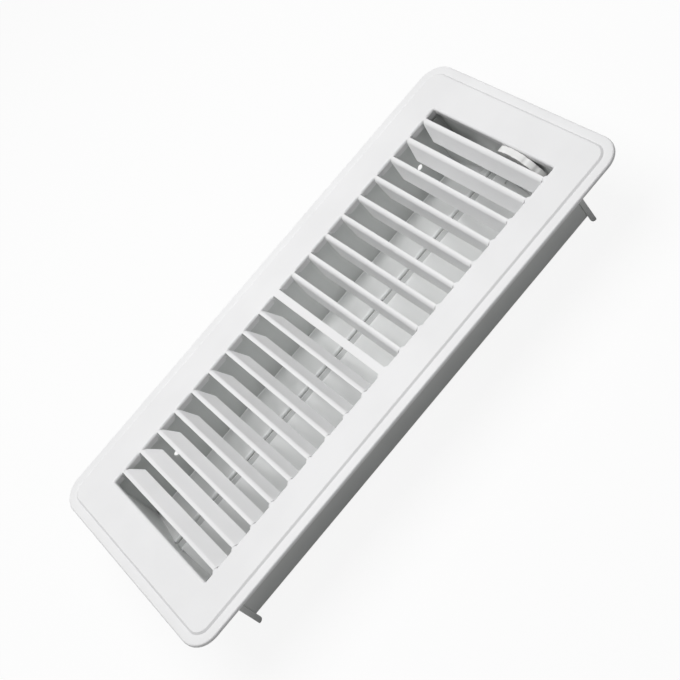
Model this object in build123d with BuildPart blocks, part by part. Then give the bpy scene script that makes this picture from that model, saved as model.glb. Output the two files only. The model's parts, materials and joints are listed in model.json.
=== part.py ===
"""Steel floor register: a stamped grille face on a shallow box with a two-wing damper.

Millimetres, +Z up. The origin is the middle of the plane that the end plates stand on.
+X runs along the grille towards the thumb lever, +Y to the side away from the lever's rest.
Depths are measured down from the top of the grille field.
"""
import os
from math import atan2, cos, radians, sin, tan

from build123d import *

# Grille face, one stamped sheet
FACE_SHEET = 0.8
FACE_MARGIN = 23.1
SIDE_MARGIN = 22.7
FACE_CORNER = 12.5
RIM_WIDTH = 5.0
RIM_HEIGHT = 1.7
EDGE_ROUND = 0.9
FIELD_RISE = 0.8
STEP_SLOPE = 52
BAR_PITCH = 12.7
BARS_PER_SIDE = 9
FIRST_BAR_EDGE = 13.44
BAR_FLAT = 0.6
CENTRE_BAR = 4.2
SLOT_LENGTH = 92.0
SLOT_CORNER = 1.8
END_SLOT = 7.4
BEND_RADIUS = 0.6
LIP_DEPTH = 3.9
LIP_NIP = 0.9
CORNER_RUN = 1.2

# Fins bent down from the bars, leaning towards the middle, more so in the plain half
FIN_LENGTH = 7.8
FIN_BEND = 1.4
OUTER_FIN_BEND = 1.8
FIN_SHOULDER = 1.6
FIN_RELIEF = 0.1
INNER_LEAN = 20
THIRD_LEAN = 30
OUTER_LEAN = 38
LEAN_BIAS = 10
OUTER_FINS = 2

# Box under the face
BOX_SHEET = 0.8
WALL_DEPTH = 37.5
WALL_CHAMFER = 1.5
FLANGE = 3.0
FLANGE_ROUND = 2.4
BOX_BEND = 0.7
SCREW_RADIUS = 1.6
SCREW_SPACING = 189.4
SCREW_DEPTH = 20.5
SCREW_SHIFT = 2.6

# Damper wings, each rolled round its own hinge rod
WING_SHEET = 0.6
WING_SLOPE = 25.8
WING_OPENING = 57.0
WING_GAP = 0.5
WING_END_GAP = 0.6
HINGE_DEPTH = 18.2
HINGE_OFFSET = 3.5
ROD_RADIUS = 0.6
RUNNING_CLEARANCE = 0.05
BRACKET_SETBACK = 1.7
BRACKET_EDGE = 3.2
BRACKET_RISE = 12.3
BRACKET_TAB = 7.0
CHEEK_LAP = 1.5
STRIP_GAP = 0.35
STRIP_DROP = 0.2
STRIP_TAB = 5.0
CLIP_RADIUS = 2.0
CLIP_THICKNESS = 0.7
ROD_END = 0.3
EAR_REACH = 10.0
EAR_RADIUS = 2.2
PIN_DROP = 1.0
PIN_RADIUS = 1.0
PIN_HEAD = 0.6
PIN_HEAD_RADIUS = 1.6
PIN_END = 0.9
PIN_SEAT = 0.02
NOTCH_WIDTH = 2.6
NOTCH_LENGTH = 2.8
FOOT_LAP = 0.7

# Thumb lever, a flat sector with a thick arched rim
LEVER_PIVOT_DEPTH = 37.5
PIVOT_EDGE = 5.5
LEVER_TOP_GAP = 0.3
LEVER_TRAVEL = 76.0
LEVER_WIDTH = 3.7
LEVER_LIP_GAP = 0.35
LEVER_WEB = 1.8
LEVER_RIM = 3.0
THUMB_RADIUS = 20.3
THUMB_OFFSET = 16.7
THUMB_FAR_END = 26.0
THUMB_NEAR_END = 61.0
FLUTE_COUNT = 4
FLUTE_PITCH = 19.0
FLUTE_RADIUS = 5.0
FLUTE_DEPTH = 0.3
HUB_RADIUS = 4.5
CAM_CLEARANCE = 0.4
CAM_LAND = 2.4
CAM_POINTS = 9
RIVET_RADIUS = 2.0
RIVET_HEAD_RADIUS = 3.5
RIVET_HEAD = 1.2
WASHER_RADIUS = 4.2
WASHER_THICKNESS = 0.5
AXIAL_PLAY = 0.2

# Heights
end_depth = LEVER_PIVOT_DEPTH + PIVOT_EDGE
face_z = end_depth
under_face_z = face_z - FACE_SHEET
rim_z = face_z - FIELD_RISE
floor_z = rim_z - RIM_HEIGHT
hinge_z = face_z - HINGE_DEPTH
pivot_z = face_z - LEVER_PIVOT_DEPTH
wall_bottom_z = face_z - WALL_DEPTH
screw_z = face_z - SCREW_DEPTH

# Plan of the grille and of the box around its slots
bend_outer = BEND_RADIUS + FACE_SHEET
last_bar_edge = FIRST_BAR_EDGE + (BARS_PER_SIDE - 1) * BAR_PITCH
field_x = last_bar_edge + END_SLOT
field_y = SLOT_LENGTH / 2
face_x = field_x + FACE_MARGIN
face_y = field_y + SIDE_MARGIN
step_x = face_x - RIM_WIDTH
step_y = face_y - RIM_WIDTH
step_corner = FACE_CORNER - RIM_WIDTH
lip_x = field_x - bend_outer
box_x = field_x
box_y = field_y
box_out_x = box_x + BOX_SHEET
box_out_y = box_y + BOX_SHEET

# Damper
hem_inner = ROD_RADIUS + RUNNING_CLEARANCE
hem_outer = hem_inner + WING_SHEET
slope = radians(WING_SLOPE)
wing_reach = (box_y - WING_GAP - HINGE_OFFSET - hem_outer * sin(slope)) / cos(slope)
bracket_x = last_bar_edge - BRACKET_SETBACK
bracket_out_x = bracket_x + BOX_SHEET
wing_start_x = -box_x + WING_END_GAP
wing_end_x = bracket_x - WING_END_GAP
wing_length = wing_end_x - wing_start_x
rod_start_x = -box_out_x - CLIP_THICKNESS - ROD_END
rod_end_x = bracket_out_x + CLIP_THICKNESS + ROD_END

# Lever
lever_x = lip_x - LEVER_LIP_GAP - LEVER_WIDTH / 2
lever_in_x = lever_x - LEVER_WIDTH / 2
web_in_x = lever_x - LEVER_WEB / 2
web_out_x = lever_x + LEVER_WEB / 2
hub_out_x = box_x - WASHER_THICKNESS - AXIAL_PLAY
rivet_head_x = lever_in_x - AXIAL_PLAY
rim_middle = LEVER_RIM / 2
thumb_rise = LEVER_PIVOT_DEPTH - LEVER_TOP_GAP - THUMB_RADIUS
thumb_arc = THUMB_FAR_END + THUMB_NEAR_END
flute_share = FLUTE_PITCH / thumb_arc
cam_half = PIN_RADIUS + CAM_CLEARANCE
pin_end_x = web_out_x + PIN_END


def fin_lean(place, bias):
    """Lean from the vertical of the fin on one bar, counted outwards from the middle."""
    if place >= BARS_PER_SIDE - OUTER_FINS:
        return OUTER_LEAN + bias
    if place == BARS_PER_SIDE - OUTER_FINS - 1:
        return THIRD_LEAN + bias
    return INNER_LEAN + bias


def bar_edge(place):
    """Distance from the middle to the cut edge of one bar."""
    return FIRST_BAR_EDGE + place * BAR_PITCH


def slot_spans():
    """Left and right edge of every slot of the right half, from the middle outwards."""
    edges = [(CENTRE_BAR / 2, bar_edge(0) - BAR_FLAT)]
    for place in range(1, BARS_PER_SIDE):
        edges.append((bar_edge(place - 1), bar_edge(place) - BAR_FLAT))
    edges.append((last_bar_edge, field_x))
    return edges


def fin_bend(place):
    """Inner radius of the bend between one bar and its fin."""
    if place >= BARS_PER_SIDE - OUTER_FINS:
        return OUTER_FIN_BEND
    return FIN_BEND


def bent_leaf(start, towards, lean, length, inner=BEND_RADIUS):
    """Section of sheet that bends down from its flat at start and runs on at a lean."""
    tilt = radians(lean)
    middle = (tilt + radians(90)) / 2
    outer = inner + FACE_SHEET
    centre_z = face_z - outer

    def on_bend(radius, angle):
        return (start + towards * radius * cos(angle), centre_z + radius * sin(angle))

    def run_on(point):
        return (point[0] + towards * length * sin(tilt), point[1] - length * cos(tilt))

    outer_end = on_bend(outer, tilt)
    inner_end = on_bend(inner, tilt)
    with BuildLine() as outline:
        ThreePointArc((start, face_z), on_bend(outer, middle), outer_end)
        Line(outer_end, run_on(outer_end))
        Line(run_on(outer_end), run_on(inner_end))
        Line(run_on(inner_end), inner_end)
        ThreePointArc(inner_end, on_bend(inner, middle), (start, under_face_z))
        Line((start, under_face_z), (start, face_z))
    make_face(outline.edges())


def pin_in_lever(side, turn):
    """Centre of a wing's pin as the lever sees it when it has turned by this many degrees."""
    wing = slope + radians(turn * WING_OPENING / LEVER_TRAVEL)
    y = side * (HINGE_OFFSET + EAR_REACH * cos(wing) - PIN_DROP * sin(wing))
    z = hinge_z - EAR_REACH * sin(wing) - PIN_DROP * cos(wing) - pivot_z
    back = radians(turn)
    return (y * cos(back) - z * sin(back), y * sin(back) + z * cos(back))


def cam_slot(side, half):
    """Closed outline, half wide each way, round the path of one wing's pin in the lever."""
    turns = [LEVER_TRAVEL * i / (CAM_POINTS - 1) for i in range(CAM_POINTS)]
    left, right = [], []
    for turn in turns:
        y, z = pin_in_lever(side, turn)
        before = pin_in_lever(side, turn - 1)
        after = pin_in_lever(side, turn + 1)
        heading = atan2(after[1] - before[1], after[0] - before[0])
        left.append((y - half * sin(heading), z + half * cos(heading)))
        right.append((y + half * sin(heading), z - half * cos(heading)))
        if turn == turns[0]:
            tail = (y - half * cos(heading), z - half * sin(heading))
        nose = (y + half * cos(heading), z + half * sin(heading))
    with BuildLine() as outline:
        Spline(*left)
        ThreePointArc(left[-1], nose, right[-1])
        Spline(*reversed(right))
        ThreePointArc(right[0], tail, left[0])
    make_face(outline.edges())


def wing_underside(y):
    """Height of a closed wing's underside at this distance from the middle."""
    return hinge_z + hem_inner / cos(slope) - (y - HINGE_OFFSET) * tan(slope)


def polar(radius, degrees):
    """Point about a centre, the angle taken from straight up towards the near side."""
    return (-radius * sin(radians(degrees)), radius * cos(radians(degrees)))


# Fins: one section for each bar, relieved at its ends and cut off at the corners
fin_half = field_y - SLOT_CORNER - FIN_RELIEF
fin_drop = OUTER_FIN_BEND + FACE_SHEET + FIN_LENGTH
with BuildPart() as fins:
    with BuildSketch(Plane.XZ):
        for place in range(BARS_PER_SIDE):
            start = bar_edge(place) - BAR_FLAT
            bent_leaf(start, -1, fin_lean(place, -LEAN_BIAS), FIN_LENGTH, fin_bend(place))
            bent_leaf(-start, 1, fin_lean(place, LEAN_BIAS), FIN_LENGTH, fin_bend(place))
    extrude(amount=fin_half, both=True)
    shoulder_z = face_z - FIN_SHOULDER
    with BuildSketch(Plane.YZ.offset(-field_x)):
        for side in (-1, 1):
            with BuildLine():
                Polyline(
                    (side * fin_half, shoulder_z),
                    (side * fin_half, shoulder_z - fin_drop),
                    (side * (fin_half - fin_drop), shoulder_z - fin_drop),
                    close=True,
                )
            make_face()
    extrude(amount=2 * field_x, mode=Mode.SUBTRACT)

# Lips drawn down at the ends of the slots, their lower corners nipped off between the bars
lip_length = LIP_DEPTH - bend_outer
with BuildPart() as lips:
    for low, high in slot_spans()[:-1]:
        for start in (low, -high):
            with BuildSketch(Plane.YZ.offset(start + SLOT_CORNER)):
                bent_leaf(field_y, -1, 0, lip_length)
                bent_leaf(-field_y, 1, 0, lip_length)
            extrude(amount=high - low - 2 * SLOT_CORNER)
    chamfer(edges().filter_by(Axis.Y).group_by(Axis.Z)[0], LIP_NIP)

# Lips of the two end slots, which run on along their outer side
with BuildPart() as end_lips:
    for start in (last_bar_edge, -field_x):
        with BuildSketch(Plane.YZ.offset(start + SLOT_CORNER)):
            bent_leaf(field_y, -1, 0, lip_length)
            bent_leaf(-field_y, 1, 0, lip_length)
        extrude(amount=END_SLOT - 2 * SLOT_CORNER)
    with BuildSketch(Plane.XZ):
        bent_leaf(field_x, -1, 0, lip_length)
        bent_leaf(-field_x, 1, 0, lip_length)
    extrude(amount=field_y - SLOT_CORNER, both=True)

# Quarter turns of the bent edge: a shallow one beside each bar, a full one at the field's corners
with BuildPart() as bar_corner:
    with BuildSketch(Plane.XZ):
        bent_leaf(SLOT_CORNER, -1, 0, CORNER_RUN)
    revolve(axis=Axis.Z, revolution_arc=90)

with BuildPart() as end_corner:
    with BuildSketch(Plane.XZ):
        bent_leaf(SLOT_CORNER, -1, 0, lip_length)
    revolve(axis=Axis.Z, revolution_arc=90)


def corner_places(low, high):
    """Centre and turn of the four quarter turns in the corners of an opening from low to high."""
    left = low + SLOT_CORNER
    right = high - SLOT_CORNER
    y = field_y - SLOT_CORNER
    return [
        Location((right, y, 0), (0, 0, 0)),
        Location((left, y, 0), (0, 0, 90)),
        Location((left, -y, 0), (0, 0, 180)),
        Location((right, -y, 0), (0, 0, 270)),
    ]


# Face: a turned-down rim, a raised field, the slots, and the fins and lips bent out of them
with BuildPart() as face_plate:
    with BuildSketch(Plane.XY.offset(floor_z)):
        RectangleRounded(2 * face_x, 2 * face_y, FACE_CORNER)
    extrude(amount=RIM_HEIGHT)
    fillet(faces().sort_by(Axis.Z)[-1].edges(), EDGE_ROUND)
    with BuildSketch(Plane.XY.offset(rim_z)):
        RectangleRounded(2 * step_x, 2 * step_y, step_corner)
    extrude(amount=FIELD_RISE, taper=STEP_SLOPE)
    with BuildSketch(Plane.XY.offset(floor_z)):
        RectangleRounded(
            2 * (face_x - FACE_SHEET), 2 * (face_y - FACE_SHEET), FACE_CORNER - FACE_SHEET
        )
    extrude(amount=RIM_HEIGHT - FACE_SHEET, mode=Mode.SUBTRACT)
    with BuildSketch(Plane.XY.offset(rim_z - FACE_SHEET)):
        RectangleRounded(2 * step_x, 2 * step_y, step_corner)
    extrude(amount=FIELD_RISE, taper=STEP_SLOPE, mode=Mode.SUBTRACT)
    with BuildSketch(Plane.XY.offset(under_face_z)):
        for low, high in slot_spans():
            with Locations(((low + high) / 2, 0), (-(low + high) / 2, 0)):
                RectangleRounded(high - low, SLOT_LENGTH, SLOT_CORNER)
    extrude(amount=FACE_SHEET, mode=Mode.SUBTRACT)
    add(lips.part)
    add(end_lips.part)
    add(fins.part)
    for low, high in slot_spans():
        with Locations(*corner_places(low, high), *corner_places(-high, -low)):
            add(bar_corner.part)
    with Locations(*corner_places(-field_x, field_x)):
        add(end_corner.part)

# Side walls: a plain strip with its lower corners nipped off and two screw holes
with BuildPart() as near_wall:
    with BuildSketch(Plane.XZ.offset(box_y)):
        with BuildLine():
            Polyline(
                (-box_x, under_face_z),
                (box_x, under_face_z),
                (box_x, wall_bottom_z + WALL_CHAMFER),
                (box_x - WALL_CHAMFER, wall_bottom_z),
                (WALL_CHAMFER - box_x, wall_bottom_z),
                (-box_x, wall_bottom_z + WALL_CHAMFER),
                close=True,
            )
        make_face()
        with Locations((SCREW_SHIFT, screw_z)):
            with GridLocations(SCREW_SPACING, 0, 2, 1):
                Circle(SCREW_RADIUS, mode=Mode.SUBTRACT)
    extrude(amount=BOX_SHEET)

with BuildPart() as far_wall:
    mirror(near_wall.part, about=Plane.XZ)


def end_plate(centres, radius):
    """End of the box at the +X side, with flanges folded round the ends of the side walls."""
    half_width = box_out_y + BOX_SHEET
    with BuildPart() as plate:
        with BuildSketch(Plane.YZ.offset(box_x)):
            with Locations((0, under_face_z / 2)):
                Rectangle(2 * half_width, under_face_z)
        extrude(amount=BOX_SHEET)
        for sketch_plane in (Plane.XZ.offset(box_out_y), Plane.XZ.offset(-half_width)):
            with BuildSketch(sketch_plane):
                with Locations((box_out_x - FLANGE / 2, under_face_z / 2)):
                    Rectangle(FLANGE, under_face_z)
                inner_corner = vertices().group_by(Axis.X)[0].sort_by(Axis.Y)[0]
                fillet(inner_corner, FLANGE_ROUND)
            extrude(amount=BOX_SHEET)
        fillet(edges().filter_by(Axis.Z).group_by(Axis.X)[-1], BOX_BEND)
        with BuildSketch(Plane.YZ.offset(box_x)):
            with Locations(*centres):
                Circle(radius)
        extrude(amount=BOX_SHEET, mode=Mode.SUBTRACT)
    return plate


# End plates: the lever's carries its rivet, the plain one carries the hinge rods
rod_centres = [(-HINGE_OFFSET, hinge_z), (HINGE_OFFSET, hinge_z)]
lever_end_plate = end_plate([(0, pivot_z)], RIVET_RADIUS + PIN_SEAT)
rod_end_plate = end_plate(rod_centres, hem_inner)

with BuildPart() as plain_end_plate:
    mirror(rod_end_plate.part, about=Plane.YZ)

# Bracket across the box that carries the rods clear of the lever and hides the lever's web
# Its cheeks follow the closed wings down to the foot of the walls, clear of the drive pins
bracket_low_z = hinge_z - BRACKET_EDGE
bracket_top_z = hinge_z + BRACKET_RISE
cheek_y = HINGE_OFFSET + EAR_REACH + EAR_RADIUS
cheek_in_z = wing_underside(cheek_y) - CHEEK_LAP
cheek_end_y = cheek_y + (cheek_in_z - wall_bottom_z) / tan(slope)
with BuildPart() as hinge_bracket:
    with BuildSketch(Plane.YZ.offset(bracket_x)):
        with Locations((0, (bracket_top_z + wall_bottom_z) / 2)):
            Rectangle(2 * box_y, bracket_top_z - wall_bottom_z)
        with BuildLine():
            Polyline(
                (cheek_end_y, wall_bottom_z),
                (cheek_y, cheek_in_z),
                (cheek_y, bracket_low_z),
                (-cheek_y, bracket_low_z),
                (-cheek_y, cheek_in_z),
                (-cheek_end_y, wall_bottom_z),
                close=True,
            )
        make_face(mode=Mode.SUBTRACT)
        with Locations(*rod_centres):
            Circle(hem_inner, mode=Mode.SUBTRACT)
    extrude(amount=BOX_SHEET)
    with BuildSketch(Plane.XY.offset(bracket_low_z)):
        for side in (-1, 1):
            with Locations((bracket_x + BRACKET_TAB / 2, side * (box_y - BOX_SHEET / 2))):
                Rectangle(BRACKET_TAB, BOX_SHEET)
    extrude(amount=BRACKET_EDGE + BRACKET_RISE)
    front_edges = edges().filter_by(Axis.Z).group_by(Axis.X)[0].group_by(Axis.Y)
    fillet(front_edges[0] + front_edges[-1], BOX_BEND)

# Strip that closes the gap between the rolled edges, its ends turned down on plate and bracket
strip_z = hinge_z - STRIP_DROP
with BuildPart() as gap_strip:
    with BuildSketch(Plane.XZ):
        with BuildLine():
            Polyline(
                (-box_x, strip_z),
                (bracket_x, strip_z),
                (bracket_x, strip_z - STRIP_TAB),
                (bracket_x - BOX_SHEET, strip_z - STRIP_TAB),
                (bracket_x - BOX_SHEET, strip_z - BOX_SHEET),
                (BOX_SHEET - box_x, strip_z - BOX_SHEET),
                (BOX_SHEET - box_x, strip_z - STRIP_TAB),
                (-box_x, strip_z - STRIP_TAB),
                close=True,
            )
        make_face()
    extrude(amount=HINGE_OFFSET - hem_outer - STRIP_GAP, both=True)
    fillet(edges().filter_by(Axis.Y).group_by(Axis.Z)[-1], BOX_BEND)

# Hinge rods with a push-on clip at each end
with BuildPart() as near_hinge_rod:
    with BuildSketch(Plane.YZ.offset(rod_start_x)):
        with Locations(rod_centres[0]):
            Circle(ROD_RADIUS)
    extrude(amount=rod_end_x - rod_start_x)
    chamfer(edges().filter_by(GeomType.CIRCLE), ROD_END / 2)

with BuildPart() as far_hinge_rod:
    mirror(near_hinge_rod.part, about=Plane.XZ)

with BuildPart() as rod_clips:
    for start in (-box_out_x - CLIP_THICKNESS, bracket_out_x):
        with BuildSketch(Plane.YZ.offset(start)):
            with Locations(*rod_centres):
                Circle(CLIP_RADIUS)
                Circle(ROD_RADIUS + PIN_SEAT, mode=Mode.SUBTRACT)
        extrude(amount=CLIP_THICKNESS)

# Wings: sheet rolled round the rod, with an ear at the lever end that holds the drive pin
# The ear's foot lies under a notch beside it
wing_plane = Plane(
    origin=(wing_end_x, -HINGE_OFFSET, hinge_z), x_dir=(0, -cos(slope), -sin(slope)), z_dir=(-1, 0, 0)
)
sheet_middle = (hem_inner + hem_outer) / 2
with BuildPart() as near_wing:
    with BuildSketch(wing_plane):
        Circle(hem_outer)
        with Locations((wing_reach / 2, sheet_middle)):
            Rectangle(wing_reach, WING_SHEET)
        Circle(hem_inner, mode=Mode.SUBTRACT)
    extrude(amount=wing_length)
    with BuildSketch(wing_plane):
        with Locations((EAR_REACH - EAR_RADIUS - NOTCH_WIDTH / 2, sheet_middle)):
            Rectangle(NOTCH_WIDTH, 2 * WING_SHEET)
    extrude(amount=NOTCH_LENGTH, mode=Mode.SUBTRACT)
    with BuildSketch(wing_plane):
        with Locations((EAR_REACH - EAR_RADIUS - NOTCH_WIDTH / 2, hem_inner - WING_SHEET / 2)):
            Rectangle(NOTCH_WIDTH + 2 * FOOT_LAP, WING_SHEET)
    extrude(amount=NOTCH_LENGTH + FOOT_LAP)
    with BuildSketch(wing_plane):
        with Locations((EAR_REACH, -PIN_DROP)):
            Circle(EAR_RADIUS)
        with Locations((EAR_REACH, (hem_outer - PIN_DROP) / 2)):
            Rectangle(2 * EAR_RADIUS, hem_outer + PIN_DROP)
        with Locations((EAR_REACH, -PIN_DROP)):
            Circle(PIN_RADIUS + PIN_SEAT, mode=Mode.SUBTRACT)
    extrude(amount=WING_SHEET)

with BuildPart() as far_wing:
    mirror(near_wing.part, about=Plane.XZ)

# Drive pins, headed behind the ear and long enough to pass through the lever's web
pin_y = -(HINGE_OFFSET + EAR_REACH * cos(slope) - PIN_DROP * sin(slope))
pin_z = hinge_z - EAR_REACH * sin(slope) - PIN_DROP * cos(slope)
ear_x = wing_end_x - WING_SHEET
with BuildPart() as near_drive_pin:
    with BuildSketch(Plane.YZ.offset(ear_x - PIN_HEAD)):
        with Locations((pin_y, pin_z)):
            Circle(PIN_HEAD_RADIUS)
    extrude(amount=PIN_HEAD)
    with BuildSketch(Plane.YZ.offset(ear_x)):
        with Locations((pin_y, pin_z)):
            Circle(PIN_RADIUS)
    extrude(amount=pin_end_x - ear_x)

with BuildPart() as far_drive_pin:
    mirror(near_drive_pin.part, about=Plane.XZ)


def pivot_plane(x):
    """Plane across the box at x with its origin on the lever's pivot, its own x towards +Y."""
    return Plane(origin=(x, 0, pivot_z), x_dir=(0, 1, 0), z_dir=(1, 0, 0))


def rim_point(share, inwards):
    """Point on the lever's rim, from 0 at its far end to 1 at its near end."""
    across, up = polar(THUMB_RADIUS - inwards, share * thumb_arc - THUMB_FAR_END)
    return (across - THUMB_OFFSET, up + thumb_rise)


# Thumb lever: cam plate and web, thick rim with shallow flutes, hub, bore and two cam slots
with BuildPart() as thumb_lever:
    with BuildSketch(pivot_plane(web_in_x)):
        Circle(HUB_RADIUS)
        for side in (-1, 1):
            for turn in (0, LEVER_TRAVEL / 2, LEVER_TRAVEL):
                with Locations(pin_in_lever(side, turn)):
                    Circle(cam_half + CAM_LAND)
        make_hull()
        with BuildLine():
            Line((0, 0), rim_point(0, rim_middle))
            ThreePointArc(rim_point(0, rim_middle), rim_point(0.5, rim_middle), rim_point(1, rim_middle))
            Line(rim_point(1, rim_middle), (0, 0))
        make_face()
    extrude(amount=LEVER_WEB)
    with BuildSketch(pivot_plane(lever_in_x)):
        with BuildLine():
            Line(rim_point(0, LEVER_RIM), rim_point(0, 0))
            ThreePointArc(rim_point(0, 0), rim_point(0.5, 0), rim_point(1, 0))
            Line(rim_point(1, 0), rim_point(1, LEVER_RIM))
            ThreePointArc(rim_point(1, LEVER_RIM), rim_point(0.5, LEVER_RIM), rim_point(0, LEVER_RIM))
        make_face()
        for flute in range(FLUTE_COUNT):
            share = 0.5 + (flute - (FLUTE_COUNT - 1) / 2) * flute_share
            with Locations(rim_point(share, FLUTE_DEPTH - FLUTE_RADIUS)):
                Circle(FLUTE_RADIUS, mode=Mode.SUBTRACT)
    extrude(amount=LEVER_WIDTH)
    with BuildSketch(pivot_plane(lever_in_x)):
        Circle(HUB_RADIUS)
    extrude(amount=hub_out_x - lever_in_x)
    with BuildSketch(pivot_plane(lever_in_x)):
        Circle(RIVET_RADIUS + RUNNING_CLEARANCE)
    extrude(amount=hub_out_x - lever_in_x, mode=Mode.SUBTRACT)
    with BuildSketch(pivot_plane(web_in_x)):
        cam_slot(-1, cam_half)
        cam_slot(1, cam_half)
    extrude(amount=LEVER_WEB, mode=Mode.SUBTRACT)

# Rivet that the lever turns on, and the washer between the lever's hub and the end plate
with BuildPart() as lever_rivet:
    with BuildSketch(pivot_plane(rivet_head_x - RIVET_HEAD)):
        Circle(RIVET_HEAD_RADIUS)
    extrude(amount=RIVET_HEAD)
    with BuildSketch(pivot_plane(rivet_head_x)):
        Circle(RIVET_RADIUS)
    extrude(amount=box_out_x - rivet_head_x)
    with BuildSketch(pivot_plane(box_out_x)):
        Circle(RIVET_HEAD_RADIUS)
    extrude(amount=RIVET_HEAD)
    outer_rings = edges().filter_by(GeomType.CIRCLE).group_by(Axis.X)
    fillet(outer_rings[0] + outer_rings[-1], RIVET_HEAD / 2)

with BuildPart() as lever_washer:
    with BuildSketch(pivot_plane(box_x - WASHER_THICKNESS)):
        Circle(WASHER_RADIUS)
        Circle(RIVET_RADIUS + PIN_SEAT, mode=Mode.SUBTRACT)
    extrude(amount=WASHER_THICKNESS)

os.makedirs("parts", exist_ok=True)
face_plate.part.label = "face_plate"
export_step(face_plate.part, "parts/face_plate.step")
near_wall.part.label = "near_wall"
export_step(near_wall.part, "parts/near_wall.step")
far_wall.part.label = "far_wall"
export_step(far_wall.part, "parts/far_wall.step")
plain_end_plate.part.label = "plain_end_plate"
export_step(plain_end_plate.part, "parts/plain_end_plate.step")
lever_end_plate.part.label = "lever_end_plate"
export_step(lever_end_plate.part, "parts/lever_end_plate.step")
hinge_bracket.part.label = "hinge_bracket"
export_step(hinge_bracket.part, "parts/hinge_bracket.step")
gap_strip.part.label = "gap_strip"
export_step(gap_strip.part, "parts/gap_strip.step")
near_hinge_rod.part.label = "near_hinge_rod"
export_step(near_hinge_rod.part, "parts/near_hinge_rod.step")
far_hinge_rod.part.label = "far_hinge_rod"
export_step(far_hinge_rod.part, "parts/far_hinge_rod.step")
rod_clips.part.label = "rod_clips"
export_step(rod_clips.part, "parts/rod_clips.step")
near_wing.part.label = "near_wing"
export_step(near_wing.part, "parts/near_wing.step")
far_wing.part.label = "far_wing"
export_step(far_wing.part, "parts/far_wing.step")
near_drive_pin.part.label = "near_drive_pin"
export_step(near_drive_pin.part, "parts/near_drive_pin.step")
far_drive_pin.part.label = "far_drive_pin"
export_step(far_drive_pin.part, "parts/far_drive_pin.step")
thumb_lever.part.label = "thumb_lever"
export_step(thumb_lever.part, "parts/thumb_lever.step")
lever_rivet.part.label = "lever_rivet"
export_step(lever_rivet.part, "parts/lever_rivet.step")
lever_washer.part.label = "lever_washer"
export_step(lever_washer.part, "parts/lever_washer.step")
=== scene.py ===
"""Floor register in white enamel, with its finishes, stage and camera.

Metres, in the frame of the packed model: +Z up, +X along the grille towards the thumb lever.
"""
import json
from math import radians

import bmesh
import bpy
from bpy.props import FloatProperty, FloatVectorProperty, IntProperty, PointerProperty
from bpy.types import Operator, Panel, PropertyGroup
from mathutils import Matrix, Vector

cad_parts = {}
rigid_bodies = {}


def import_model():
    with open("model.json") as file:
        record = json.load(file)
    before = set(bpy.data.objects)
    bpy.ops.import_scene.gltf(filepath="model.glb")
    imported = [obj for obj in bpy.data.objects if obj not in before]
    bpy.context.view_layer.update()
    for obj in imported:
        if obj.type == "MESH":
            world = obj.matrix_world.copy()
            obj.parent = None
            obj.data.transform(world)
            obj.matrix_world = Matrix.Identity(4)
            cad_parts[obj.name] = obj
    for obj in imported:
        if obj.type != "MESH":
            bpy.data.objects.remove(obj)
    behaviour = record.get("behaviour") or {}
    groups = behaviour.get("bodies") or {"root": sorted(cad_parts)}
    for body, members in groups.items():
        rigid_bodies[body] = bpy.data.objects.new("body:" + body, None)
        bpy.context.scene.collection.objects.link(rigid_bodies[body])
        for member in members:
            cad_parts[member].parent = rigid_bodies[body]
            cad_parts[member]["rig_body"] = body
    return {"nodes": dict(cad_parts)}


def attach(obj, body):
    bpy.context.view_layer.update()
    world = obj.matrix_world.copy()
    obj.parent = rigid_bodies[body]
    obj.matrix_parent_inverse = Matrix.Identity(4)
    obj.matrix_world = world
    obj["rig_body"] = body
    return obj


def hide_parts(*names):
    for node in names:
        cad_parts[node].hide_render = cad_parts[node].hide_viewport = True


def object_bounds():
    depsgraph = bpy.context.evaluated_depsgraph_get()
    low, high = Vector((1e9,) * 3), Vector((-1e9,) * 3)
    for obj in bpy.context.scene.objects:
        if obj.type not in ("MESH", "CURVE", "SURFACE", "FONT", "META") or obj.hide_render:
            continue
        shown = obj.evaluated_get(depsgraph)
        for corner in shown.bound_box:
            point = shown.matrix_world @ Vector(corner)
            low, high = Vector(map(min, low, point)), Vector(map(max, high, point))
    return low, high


bl_info = {
    "name": "Floor Register",
    "version": (1, 0, 0),
    "blender": (4, 5, 0),
    "location": "View3D > Sidebar > Floor Register",
    "description": "Finishes a stamped-steel floor register and sets its stage",
    "category": "Object",
}

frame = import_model()
cad_low, cad_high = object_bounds()

# Span that noise seldom leaves, for gloss, and the middle of it, for shades
NOISE_SPAN = (0.3, 0.7)
SHADE_SPAN = (0.35, 0.65)

# Points closer than this are one point, and triangles that meet flatter than this make a quad of any shape
MERGE_DISTANCE = 1e-6
FLAT_FOLD = radians(1.0)
ANY_SHAPE = radians(180.0)

# Nearest distance that the camera sees
CAMERA_NEAR = 0.01


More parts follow.
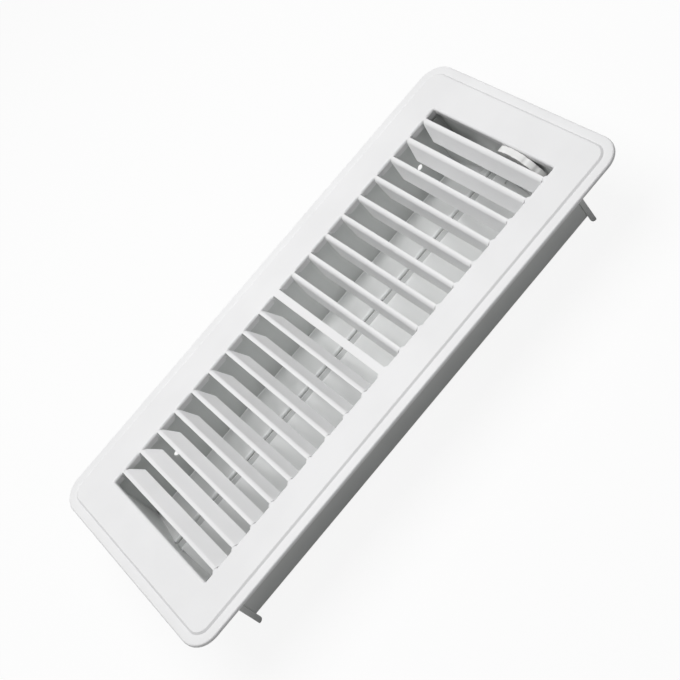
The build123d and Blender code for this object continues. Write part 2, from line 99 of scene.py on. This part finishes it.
class EnamelSettings(PropertyGroup):
    """Baked enamel on the sheet steel."""

    face_colour: FloatVectorProperty(
        name="Face Colour",
        description="Enamel of the grille face",
        subtype="COLOR",
        default=(0.86, 0.86, 0.865),
        min=0.0,
        max=1.0,
    )
    # Box colour is darker and greyer than the face: partly the walls' own grey-green tint, partly painted
    # shade of the walls under the face's overhang
    box_colour_and_shade: FloatVectorProperty(
        name="Box Colour",
        description="Thinner enamel of the walls, ends and bracket",
        subtype="COLOR",
        default=(0.71, 0.725, 0.715),
        min=0.0,
        max=1.0,
    )
    wing_colour: FloatVectorProperty(
        name="Wing Colour",
        description="Enamel of the two damper wings",
        subtype="COLOR",
        default=(0.80, 0.81, 0.805),
        min=0.0,
        max=1.0,
    )
    # Mid grey of the strip between the wings: painted shade of the sunk valley between the hinge hems, not
    # a grey coat
    strip_painted_shade_colour: FloatVectorProperty(
        name="Primer Colour",
        description="Grey primer of the strip between the wings",
        subtype="COLOR",
        default=(0.55, 0.56, 0.555),
        min=0.0,
        max=1.0,
    )
    shade_drift: FloatProperty(
        name="Shade Drift",
        description="How far the coat's thickness changes its brightness, as a share",
        subtype="FACTOR",
        default=0.035,
        min=0.0,
        max=0.3,
    )
    drift_size: FloatProperty(
        name="Drift Size",
        description="Width of the patches in which the coat's brightness drifts",
        unit="LENGTH",
        default=0.030,
    )
    gloss_drift: FloatProperty(
        name="Gloss Drift",
        description="How far the roughness drifts either way",
        subtype="FACTOR",
        default=0.05,
        min=0.0,
        max=0.3,
    )
    gloss_size: FloatProperty(
        name="Gloss Size",
        description="Width of the patches in which the roughness drifts",
        unit="LENGTH",
        default=0.010,
    )
    roughness: FloatProperty(
        name="Roughness",
        description="Middle roughness of the satin coat",
        subtype="FACTOR",
        default=0.40,
        min=0.0,
        max=1.0,
    )
    # Roughness of the strip whose grey colour is painted shade
    strip_roughness: FloatProperty(
        name="Primer Roughness",
        description="Middle roughness of the matt primer",
        subtype="FACTOR",
        default=0.62,
        min=0.0,
        max=1.0,
    )
    peel_size: FloatProperty(
        name="Peel Size",
        description="Width of the orange-peel ripples in the coat",
        unit="LENGTH",
        default=0.0011,
    )
    peel_depth: FloatProperty(
        name="Peel Depth",
        description="Height of the orange-peel ripples",
        unit="LENGTH",
        default=0.000012,
    )


class LeverSettings(PropertyGroup):
    """Moulded plastic of the thumb lever."""

    colour: FloatVectorProperty(
        name="Colour",
        description="White moulded plastic",
        subtype="COLOR",
        default=(0.85, 0.85, 0.84),
        min=0.0,
        max=1.0,
    )
    roughness: FloatProperty(
        name="Roughness",
        description="Middle roughness of the moulded skin",
        subtype="FACTOR",
        default=0.46,
        min=0.0,
        max=1.0,
    )
    gloss_drift: FloatProperty(
        name="Gloss Drift",
        description="How far the roughness drifts either way with the grain",
        subtype="FACTOR",
        default=0.06,
        min=0.0,
        max=0.3,
    )
    shade_drift: FloatProperty(
        name="Shade Drift",
        description="How far the flow of the plastic darkens it, as a share",
        subtype="FACTOR",
        default=0.04,
        min=0.0,
        max=0.3,
    )
    flow_size: FloatProperty(
        name="Flow Size",
        description="Width of the patches that the plastic's flow leaves",
        unit="LENGTH",
        default=0.006,
    )
    grain_size: FloatProperty(
        name="Grain Size",
        description="Width of the spark-eroded grain",
        unit="LENGTH",
        default=0.0003,
    )
    grain_depth: FloatProperty(
        name="Grain Depth",
        description="Height of the spark-eroded grain",
        unit="LENGTH",
        default=0.0000075,
    )


class ZincSettings(PropertyGroup):
    """Zinc-plated rods, clips, pins, rivet and washer."""

    colour: FloatVectorProperty(
        name="Colour",
        description="Bright zinc plate",
        subtype="COLOR",
        default=(0.70, 0.71, 0.73),
        min=0.0,
        max=1.0,
    )
    roughness: FloatProperty(
        name="Roughness",
        description="Middle roughness of the plate",
        subtype="FACTOR",
        default=0.31,
        min=0.0,
        max=1.0,
    )
    gloss_drift: FloatProperty(
        name="Gloss Drift",
        description="How far the roughness drifts either way between the drawing lines",
        subtype="FACTOR",
        default=0.09,
        min=0.0,
        max=0.3,
    )
    shade_drift: FloatProperty(
        name="Shade Drift",
        description="How far the cloudy spots are darker, as a share",
        subtype="FACTOR",
        default=0.18,
        min=0.0,
        max=0.5,
    )
    cloud_size: FloatProperty(
        name="Cloud Size",
        description="Width of the cloudy spots",
        unit="LENGTH",
        default=0.003,
    )
    line_width: FloatProperty(
        name="Line Width",
        description="Width of the drawing lines along the wire",
        unit="LENGTH",
        default=0.00012,
    )
    line_stretch: FloatProperty(
        name="Line Stretch",
        description="Length of a drawing line in widths of it",
        default=50.0,
        min=1.0,
    )
    line_depth: FloatProperty(
        name="Line Depth",
        description="Height of the drawing lines",
        unit="LENGTH",
        default=0.000004,
    )


class EdgeSettings(PropertyGroup):
    """Softness of the edges under their coat."""

    sheet_edge: FloatProperty(
        name="Sheet Edge",
        description="Rounding of the cut sheet's edges",
        unit="LENGTH",
        default=0.00012,
    )
    lever_edge: FloatProperty(
        name="Lever Edge",
        description="Rounding of the moulded lever's edges",
        unit="LENGTH",
        default=0.00018,
    )
    steps: IntProperty(
        name="Steps",
        description="Facets across each rounding",
        default=2,
        min=1,
        max=4,
    )
    sharp_angle: FloatProperty(
        name="Sharp Angle",
        description="Folds sharper than this are edges",
        subtype="ANGLE",
        default=radians(32.0),
    )


class StageSettings(PropertyGroup):
    """Floor, lamp, sky and camera."""

    floor_colour: FloatVectorProperty(
        name="Floor Colour",
        description="Pale floor that throws light back on the register",
        subtype="COLOR",
        default=(0.68, 0.68, 0.68),
        min=0.0,
        max=1.0,
    )
    floor_seen: FloatVectorProperty(
        name="Floor Seen",
        description="Lit floor that the camera sees, which takes the shadow",
        subtype="COLOR",
        default=(0.9, 0.9, 0.9),
        min=0.0,
        max=1.0,
    )
    floor_lift: FloatProperty(
        name="Floor Lift",
        description="Share of plain white in the floor that the camera sees",
        subtype="FACTOR",
        default=0.9,
        min=0.0,
        max=1.0,
    )
    floor_size: FloatProperty(
        name="Floor Size",
        description="Side of the floor",
        unit="LENGTH",
        default=6.0,
    )
    overhead_size: FloatProperty(
        name="Overhead Size",
        description="Side of the soft lamp overhead",
        unit="LENGTH",
        default=0.7,
    )
    overhead_place: FloatVectorProperty(
        name="Overhead Place",
        description="Middle of the soft lamp overhead",
        subtype="TRANSLATION",
        default=(0.0, 0.14, 0.80),
    )
    overhead_power: FloatProperty(
        name="Overhead Power",
        description="Power of the soft lamp in watts",
        default=6.4,
    )
    sky_strength: FloatProperty(
        name="Sky Strength",
        description="Light from all round",
        default=0.12,
    )
    camera_place: FloatVectorProperty(
        name="Camera Place",
        description="Where the camera stands",
        subtype="TRANSLATION",
        default=(-0.0396, -0.4646, 0.4860),
    )
    camera_heading: FloatProperty(
        name="Camera Heading",
        description="Turn of the view from +Y towards +X",
        subtype="ANGLE",
        default=radians(6.84),
    )
    camera_drop: FloatProperty(
        name="Camera Drop",
        description="How far the view looks down",
        subtype="ANGLE",
        default=radians(44.13),
    )
    camera_roll: FloatProperty(
        name="Camera Roll",
        description="Turn of the picture about the view",
        subtype="ANGLE",
        default=radians(-45.0),
    )
    frame_width: FloatProperty(
        name="Frame Width",
        description="Width of the camera's frame in millimetres",
        default=36.0,
    )
    focal_length: FloatProperty(
        name="Focal Length",
        description="Focal length of the lens in millimetres",
        default=72.46,
    )
    shift: FloatVectorProperty(
        name="Shift",
        description="Lens shift as a share of the frame",
        size=2,
        default=(-0.0297, -0.0361),
    )


def start_material(name):
    """New node material, its shader and its Object coordinates."""
    material = bpy.data.materials.new(name)
    material.use_nodes = True
    nodes = material.node_tree.nodes
    coordinates = nodes.new("ShaderNodeTexCoord")
    return material, nodes["Principled BSDF"], coordinates.outputs["Object"]


def add_noise(material, vector, size, detail=2.0):
    """Noise whose features are about as wide as size."""
    noise = material.node_tree.nodes.new("ShaderNodeTexNoise")
    noise.inputs["Scale"].default_value = 1.0 / size
    noise.inputs["Detail"].default_value = detail
    material.node_tree.links.new(vector, noise.inputs["Vector"])
    return noise.outputs["Fac"]


def add_gloss(material, value, roughness, drift):
    """Roughness that noise spreads by the drift either way."""
    spread = material.node_tree.nodes.new("ShaderNodeMapRange")
    spread.inputs["From Min"].default_value = NOISE_SPAN[0]
    spread.inputs["From Max"].default_value = NOISE_SPAN[1]
    spread.inputs["To Min"].default_value = roughness - drift
    spread.inputs["To Max"].default_value = roughness + drift
    material.node_tree.links.new(value, spread.inputs["Value"])
    return spread.outputs["Result"]


def add_shades(material, value, colour, drift):
    """Colour that noise darkens by up to the drift, as a share."""
    dark = [channel * (1.0 - drift) for channel in colour]
    shades = material.node_tree.nodes.new("ShaderNodeValToRGB")
    for element, place, shade in zip(shades.color_ramp.elements, SHADE_SPAN, (dark, colour)):
        element.position = place
        element.color = (*shade, 1.0)
    material.node_tree.links.new(value, shades.inputs["Fac"])
    return shades.outputs["Color"]


def add_bump(material, height, depth):
    """Bump of a given depth from a height between 0 and 1."""
    bump = material.node_tree.nodes.new("ShaderNodeBump")
    bump.inputs["Distance"].default_value = depth
    material.node_tree.links.new(height, bump.inputs["Height"])
    return bump.outputs["Normal"]


def enamel_material(name, colour, roughness):
    """Sprayed and baked coat: a slow drift of shade, uneven gloss and fine orange peel."""
    settings = bpy.context.scene.register_enamel
    material, shader, vector = start_material(name)
    link = material.node_tree.links.new
    drift = add_noise(material, vector, settings.drift_size)
    link(add_shades(material, drift, colour, settings.shade_drift), shader.inputs["Base Color"])
    gloss = add_noise(material, vector, settings.gloss_size)
    link(add_gloss(material, gloss, roughness, settings.gloss_drift), shader.inputs["Roughness"])
    peel = add_noise(material, vector, settings.peel_size, detail=1.0)
    link(add_bump(material, peel, settings.peel_depth), shader.inputs["Normal"])
    return material


def plastic_material(name):
    """Moulded white plastic with faint flow marks and a fine grain."""
    settings = bpy.context.scene.register_lever
    material, shader, vector = start_material(name)
    link = material.node_tree.links.new
    flow = add_noise(material, vector, settings.flow_size)
    link(add_shades(material, flow, settings.colour, settings.shade_drift), shader.inputs["Base Color"])
    grain = add_noise(material, vector, settings.grain_size)
    link(add_gloss(material, grain, settings.roughness, settings.gloss_drift), shader.inputs["Roughness"])
    link(add_bump(material, grain, settings.grain_depth), shader.inputs["Normal"])
    return material


def zinc_material(name):
    """Zinc plate with drawing lines along the wire and cloudy spots."""
    settings = bpy.context.scene.register_zinc
    material, shader, vector = start_material(name)
    link = material.node_tree.links.new
    along = material.node_tree.nodes.new("ShaderNodeMapping")
    along.inputs["Scale"].default_value = (1.0 / settings.line_stretch, 1.0, 1.0)
    link(vector, along.inputs["Vector"])
    lines = add_noise(material, along.outputs["Vector"], settings.line_width)
    clouds = add_noise(material, vector, settings.cloud_size)
    link(add_shades(material, clouds, settings.colour, settings.shade_drift), shader.inputs["Base Color"])
    link(add_gloss(material, lines, settings.roughness, settings.gloss_drift), shader.inputs["Roughness"])
    link(add_bump(material, lines, settings.line_depth), shader.inputs["Normal"])
    shader.inputs["Metallic"].default_value = 1.0
    return material


def mark_outward_folds(mesh, sharp_angle):
    """Marks the edges that the bevel rounds: folds that stand out and are sharper than the angle."""
    folds = bmesh.new()
    folds.from_mesh(mesh)
    weight = folds.edges.layers.float.new("bevel_weight_edge")
    for edge in folds.edges:
        if edge.is_manifold and edge.is_convex and edge.calc_face_angle() > sharp_angle:
            edge[weight] = 1.0
    folds.to_mesh(mesh)
    folds.free()


def merged_copy(node, name):
    """New piece with a copy of a CAD node's mesh, its loose triangles merged into a skin of quads."""
    piece = bpy.data.objects.new(name, frame["nodes"][node].data.copy())
    piece.data.materials.clear()
    bpy.context.scene.collection.objects.link(piece)
    bpy.ops.object.select_all(action="DESELECT")
    piece.select_set(True)
    bpy.context.view_layer.objects.active = piece
    bpy.ops.mesh.customdata_custom_splitnormals_clear()
    bpy.ops.object.mode_set(mode="EDIT")
    bpy.ops.mesh.select_all(action="SELECT")
    bpy.ops.mesh.remove_doubles(threshold=MERGE_DISTANCE)
    bpy.ops.mesh.tris_convert_to_quads(face_threshold=FLAT_FOLD, shape_threshold=ANY_SHAPE)
    bpy.ops.object.mode_set(mode="OBJECT")
    return piece


def round_edges(piece, width):
    """Rounds the outward folds of the active piece and shades its flats evenly."""
    settings = bpy.context.scene.register_edges
    mark_outward_folds(piece.data, settings.sharp_angle)
    bevel = piece.modifiers.new("Coated Edges", "BEVEL")
    bevel.width = width
    bevel.segments = settings.steps
    bevel.limit_method = "WEIGHT"
    bevel.use_clamp_overlap = False
    bpy.ops.object.modifier_apply(modifier=bevel.name)
    bpy.ops.object.shade_smooth_by_angle(angle=settings.sharp_angle)
    flats = piece.modifiers.new("Flat Sheet", "WEIGHTED_NORMAL")
    flats.keep_sharp = True
    bpy.ops.object.modifier_apply(modifier=flats.name)


def softened_copy(node, name, edge):
    """Copy of a CAD node with its edges rounded, standing for it on the same body."""
    body = frame["nodes"][node]["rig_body"]
    piece = merged_copy(node, name)
    round_edges(piece, edge)
    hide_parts(node)
    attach(piece, body)
    return piece


def finish_piece(piece, material):
    """Gives a piece its finish."""
    piece.data.materials.append(material)


class FLOOR_REGISTER_OT_face_plate(Operator):
    """Make the enamelled grille face"""

    bl_idname = "floor_register.face_plate"
    bl_label = "Face Plate"

    def execute(self, context):
        coat = context.scene.register_enamel
        enamel = enamel_material("white_enamel_finish", coat.face_colour, coat.roughness)
        piece = softened_copy("face_plate", "grille_face", context.scene.register_edges.sheet_edge)
        finish_piece(piece, enamel)
        return {"FINISHED"}


class FLOOR_REGISTER_OT_box(Operator):
    """Make the walls, end plates and bracket of the box"""

    bl_idname = "floor_register.box"
    bl_label = "Box"

    def execute(self, context):
        coat = context.scene.register_enamel
        # The box's darker colour is partly painted shade of the walls under the face
        enamel = enamel_material("box_enamel_and_shade_finish", coat.box_colour_and_shade, coat.roughness)
        edge = context.scene.register_edges.sheet_edge
        for node in ("near_wall", "far_wall", "plain_end_plate", "lever_end_plate", "hinge_bracket"):
            finish_piece(softened_copy(node, "coated_" + node, edge), enamel)
        return {"FINISHED"}


class FLOOR_REGISTER_OT_strip(Operator):
    """Make the strip between the wings, its grey colour a painted shade of the valley between the hems"""

    bl_idname = "floor_register.strip"
    bl_label = "Gap Strip"

    def execute(self, context):
        coat = context.scene.register_enamel
        # The strip's grey colour is painted shade of the valley between the hems
        painted_shade_coat = enamel_material("strip_painted_shade_finish", coat.strip_painted_shade_colour, coat.strip_roughness)
        piece = softened_copy("gap_strip", "painted_shade_strip", context.scene.register_edges.sheet_edge)
        finish_piece(piece, painted_shade_coat)
        return {"FINISHED"}


class FLOOR_REGISTER_OT_wings(Operator):
    """Make the two damper wings"""

    bl_idname = "floor_register.wings"
    bl_label = "Damper Wings"

    def execute(self, context):
        coat = context.scene.register_enamel
        enamel = enamel_material("wing_enamel_finish", coat.wing_colour, coat.roughness)
        edge = context.scene.register_edges.sheet_edge
        for node in ("near_wing", "far_wing"):
            finish_piece(softened_copy(node, "coated_" + node, edge), enamel)
        return {"FINISHED"}


class FLOOR_REGISTER_OT_lever(Operator):
    """Make the thumb lever"""

    bl_idname = "floor_register.lever"
    bl_label = "Thumb Lever"

    def execute(self, context):
        plastic = plastic_material("lever_plastic_finish")
        piece = softened_copy("thumb_lever", "moulded_lever", context.scene.register_edges.lever_edge)
        finish_piece(piece, plastic)
        return {"FINISHED"}


class FLOOR_REGISTER_OT_hardware(Operator):
    """Make the rods, clips, pins, rivet and washer"""

    bl_idname = "floor_register.hardware"
    bl_label = "Plated Hardware"

    def execute(self, context):
        zinc = zinc_material("zinc_finish")
        plated = ("near_hinge_rod", "far_hinge_rod", "rod_clips", "near_drive_pin", "far_drive_pin")
        for node in plated + ("lever_rivet", "lever_washer"):
            source = frame["nodes"][node]
            source.data.materials.clear()
            source.data.materials.append(zinc)
        return {"FINISHED"}


def seen_directly(tree):
    """1 for rays from the camera, and for those that gloss or glass pass on."""
    path = tree.nodes.new("ShaderNodeLightPath")
    total = path.outputs["Is Camera Ray"]
    for kind in ("Is Glossy Ray", "Is Transmission Ray"):
        larger = tree.nodes.new("ShaderNodeMath")
        larger.operation = "MAXIMUM"
        tree.links.new(total, larger.inputs[0])
        tree.links.new(path.outputs[kind], larger.inputs[1])
        total = larger.outputs["Value"]
    return total


def floor_material(stage):
    """Pale floor that the camera sees as white, with the register's shadow on it."""
    material = bpy.data.materials.new("floor_finish")
    material.use_nodes = True
    nodes = material.node_tree.nodes
    link = material.node_tree.links.new
    nodes.remove(nodes["Principled BSDF"])
    pale = nodes.new("ShaderNodeBsdfDiffuse")
    pale.inputs["Color"].default_value = (*stage.floor_colour, 1.0)
    shadowed = nodes.new("ShaderNodeBsdfDiffuse")
    shadowed.inputs["Color"].default_value = (*stage.floor_seen, 1.0)
    white = nodes.new("ShaderNodeEmission")
    white.inputs["Strength"].default_value = 1.0
    lifted = nodes.new("ShaderNodeMixShader")
    lifted.inputs["Fac"].default_value = stage.floor_lift
    link(shadowed.outputs["BSDF"], lifted.inputs[1])
    link(white.outputs["Emission"], lifted.inputs[2])
    mixed = nodes.new("ShaderNodeMixShader")
    link(seen_directly(material.node_tree), mixed.inputs["Fac"])
    link(pale.outputs["BSDF"], mixed.inputs[1])
    link(lifted.outputs["Shader"], mixed.inputs[2])
    link(mixed.outputs["Shader"], nodes["Material Output"].inputs["Surface"])
    return material


class FLOOR_REGISTER_OT_stage(Operator):
    """Make the floor, the lamp, the sky and the camera"""

    bl_idname = "floor_register.stage"
    bl_label = "Stage"

    def execute(self, context):
        stage = context.scene.register_stage
        self.add_floor(stage)
        self.add_lamp(stage)
        self.add_sky(stage)
        self.add_camera(stage)
        context.scene.view_settings.view_transform = "Standard"
        return {"FINISHED"}

    def add_floor(self, stage):
        bpy.ops.object.select_all(action="DESELECT")
        bpy.ops.mesh.primitive_plane_add(size=stage.floor_size, location=(0.0, 0.0, cad_low.z))
        floor = bpy.context.active_object
        floor.name = "pale_floor"
        floor.data.materials.append(floor_material(stage))

    def add_lamp(self, stage):
        bpy.ops.object.light_add(type="AREA", location=stage.overhead_place)
        lamp = bpy.context.active_object
        lamp.name = "overhead_lamp"
        lamp.data.size = stage.overhead_size
        lamp.data.energy = stage.overhead_power
        towards = Vector((0.0, 0.0, cad_high.z)) - lamp.location
        lamp.rotation_euler = towards.to_track_quat("-Z", "Y").to_euler()

    def add_sky(self, stage):
        world = bpy.data.worlds.new("studio_sky")
        bpy.context.scene.world = world
        world.use_nodes = True
        tree = world.node_tree
        background = tree.nodes["Background"]
        background.inputs["Color"].default_value = (1.0, 1.0, 1.0, 1.0)
        strength = tree.nodes.new("ShaderNodeMapRange")
        strength.inputs["To Min"].default_value = stage.sky_strength
        strength.inputs["To Max"].default_value = 1.0
        tree.links.new(seen_directly(tree), strength.inputs["Value"])
        tree.links.new(strength.outputs["Result"], background.inputs["Strength"])

    def add_camera(self, stage):
        bpy.ops.object.camera_add()
        camera = bpy.context.active_object
        camera.name = "photo_camera"
        heading = Matrix.Rotation(-stage.camera_heading, 4, "Z")
        drop = Matrix.Rotation(radians(90.0) - stage.camera_drop, 4, "X")
        roll = Matrix.Rotation(stage.camera_roll, 4, "Z")
        place = Matrix.Translation(stage.camera_place)
        camera.matrix_world = place @ heading @ drop @ roll
        camera.data.sensor_width = stage.frame_width
        camera.data.lens = stage.focal_length
        camera.data.shift_x = stage.shift[0]
        camera.data.shift_y = stage.shift[1]
        camera.data.clip_start = CAMERA_NEAR
        bpy.context.scene.camera = camera


class FLOOR_REGISTER_PT_panel(Panel):
    """Sizes, colours and steps of the floor register"""

    bl_idname = "FLOOR_REGISTER_PT_panel"
    bl_label = "Floor Register"
    bl_space_type = "VIEW_3D"
    bl_region_type = "UI"
    bl_category = "Floor Register"

    def draw(self, context):
        for name, group in SETTINGS.items():
            box = self.layout.box()
            box.label(text=group.__doc__)
            for field in group.__annotations__:
                box.prop(getattr(context.scene, name), field)
        for operator in OPERATORS:
            self.layout.operator(operator.bl_idname)


SETTINGS = {
    "register_enamel": EnamelSettings,
    "register_lever": LeverSettings,
    "register_zinc": ZincSettings,
    "register_edges": EdgeSettings,
    "register_stage": StageSettings,
}
OPERATORS = (
    FLOOR_REGISTER_OT_face_plate,
    FLOOR_REGISTER_OT_box,
    FLOOR_REGISTER_OT_strip,
    FLOOR_REGISTER_OT_wings,
    FLOOR_REGISTER_OT_lever,
    FLOOR_REGISTER_OT_hardware,
    FLOOR_REGISTER_OT_stage,
)


def register():
    for name, group in SETTINGS.items():
        bpy.utils.register_class(group)
        setattr(bpy.types.Scene, name, PointerProperty(type=group))
    for operator in OPERATORS:
        bpy.utils.register_class(operator)
    bpy.utils.register_class(FLOOR_REGISTER_PT_panel)


def unregister():
    bpy.utils.unregister_class(FLOOR_REGISTER_PT_panel)
    for operator in reversed(OPERATORS):
        bpy.utils.unregister_class(operator)
    for name, group in SETTINGS.items():
        delattr(bpy.types.Scene, name)
        bpy.utils.unregister_class(group)


def main():
    register()
    bpy.ops.floor_register.face_plate()
    bpy.ops.floor_register.box()
    bpy.ops.floor_register.strip()
    bpy.ops.floor_register.wings()
    bpy.ops.floor_register.lever()
    bpy.ops.floor_register.hardware()
    bpy.ops.floor_register.stage()


if __name__ == "__main__":
    main()
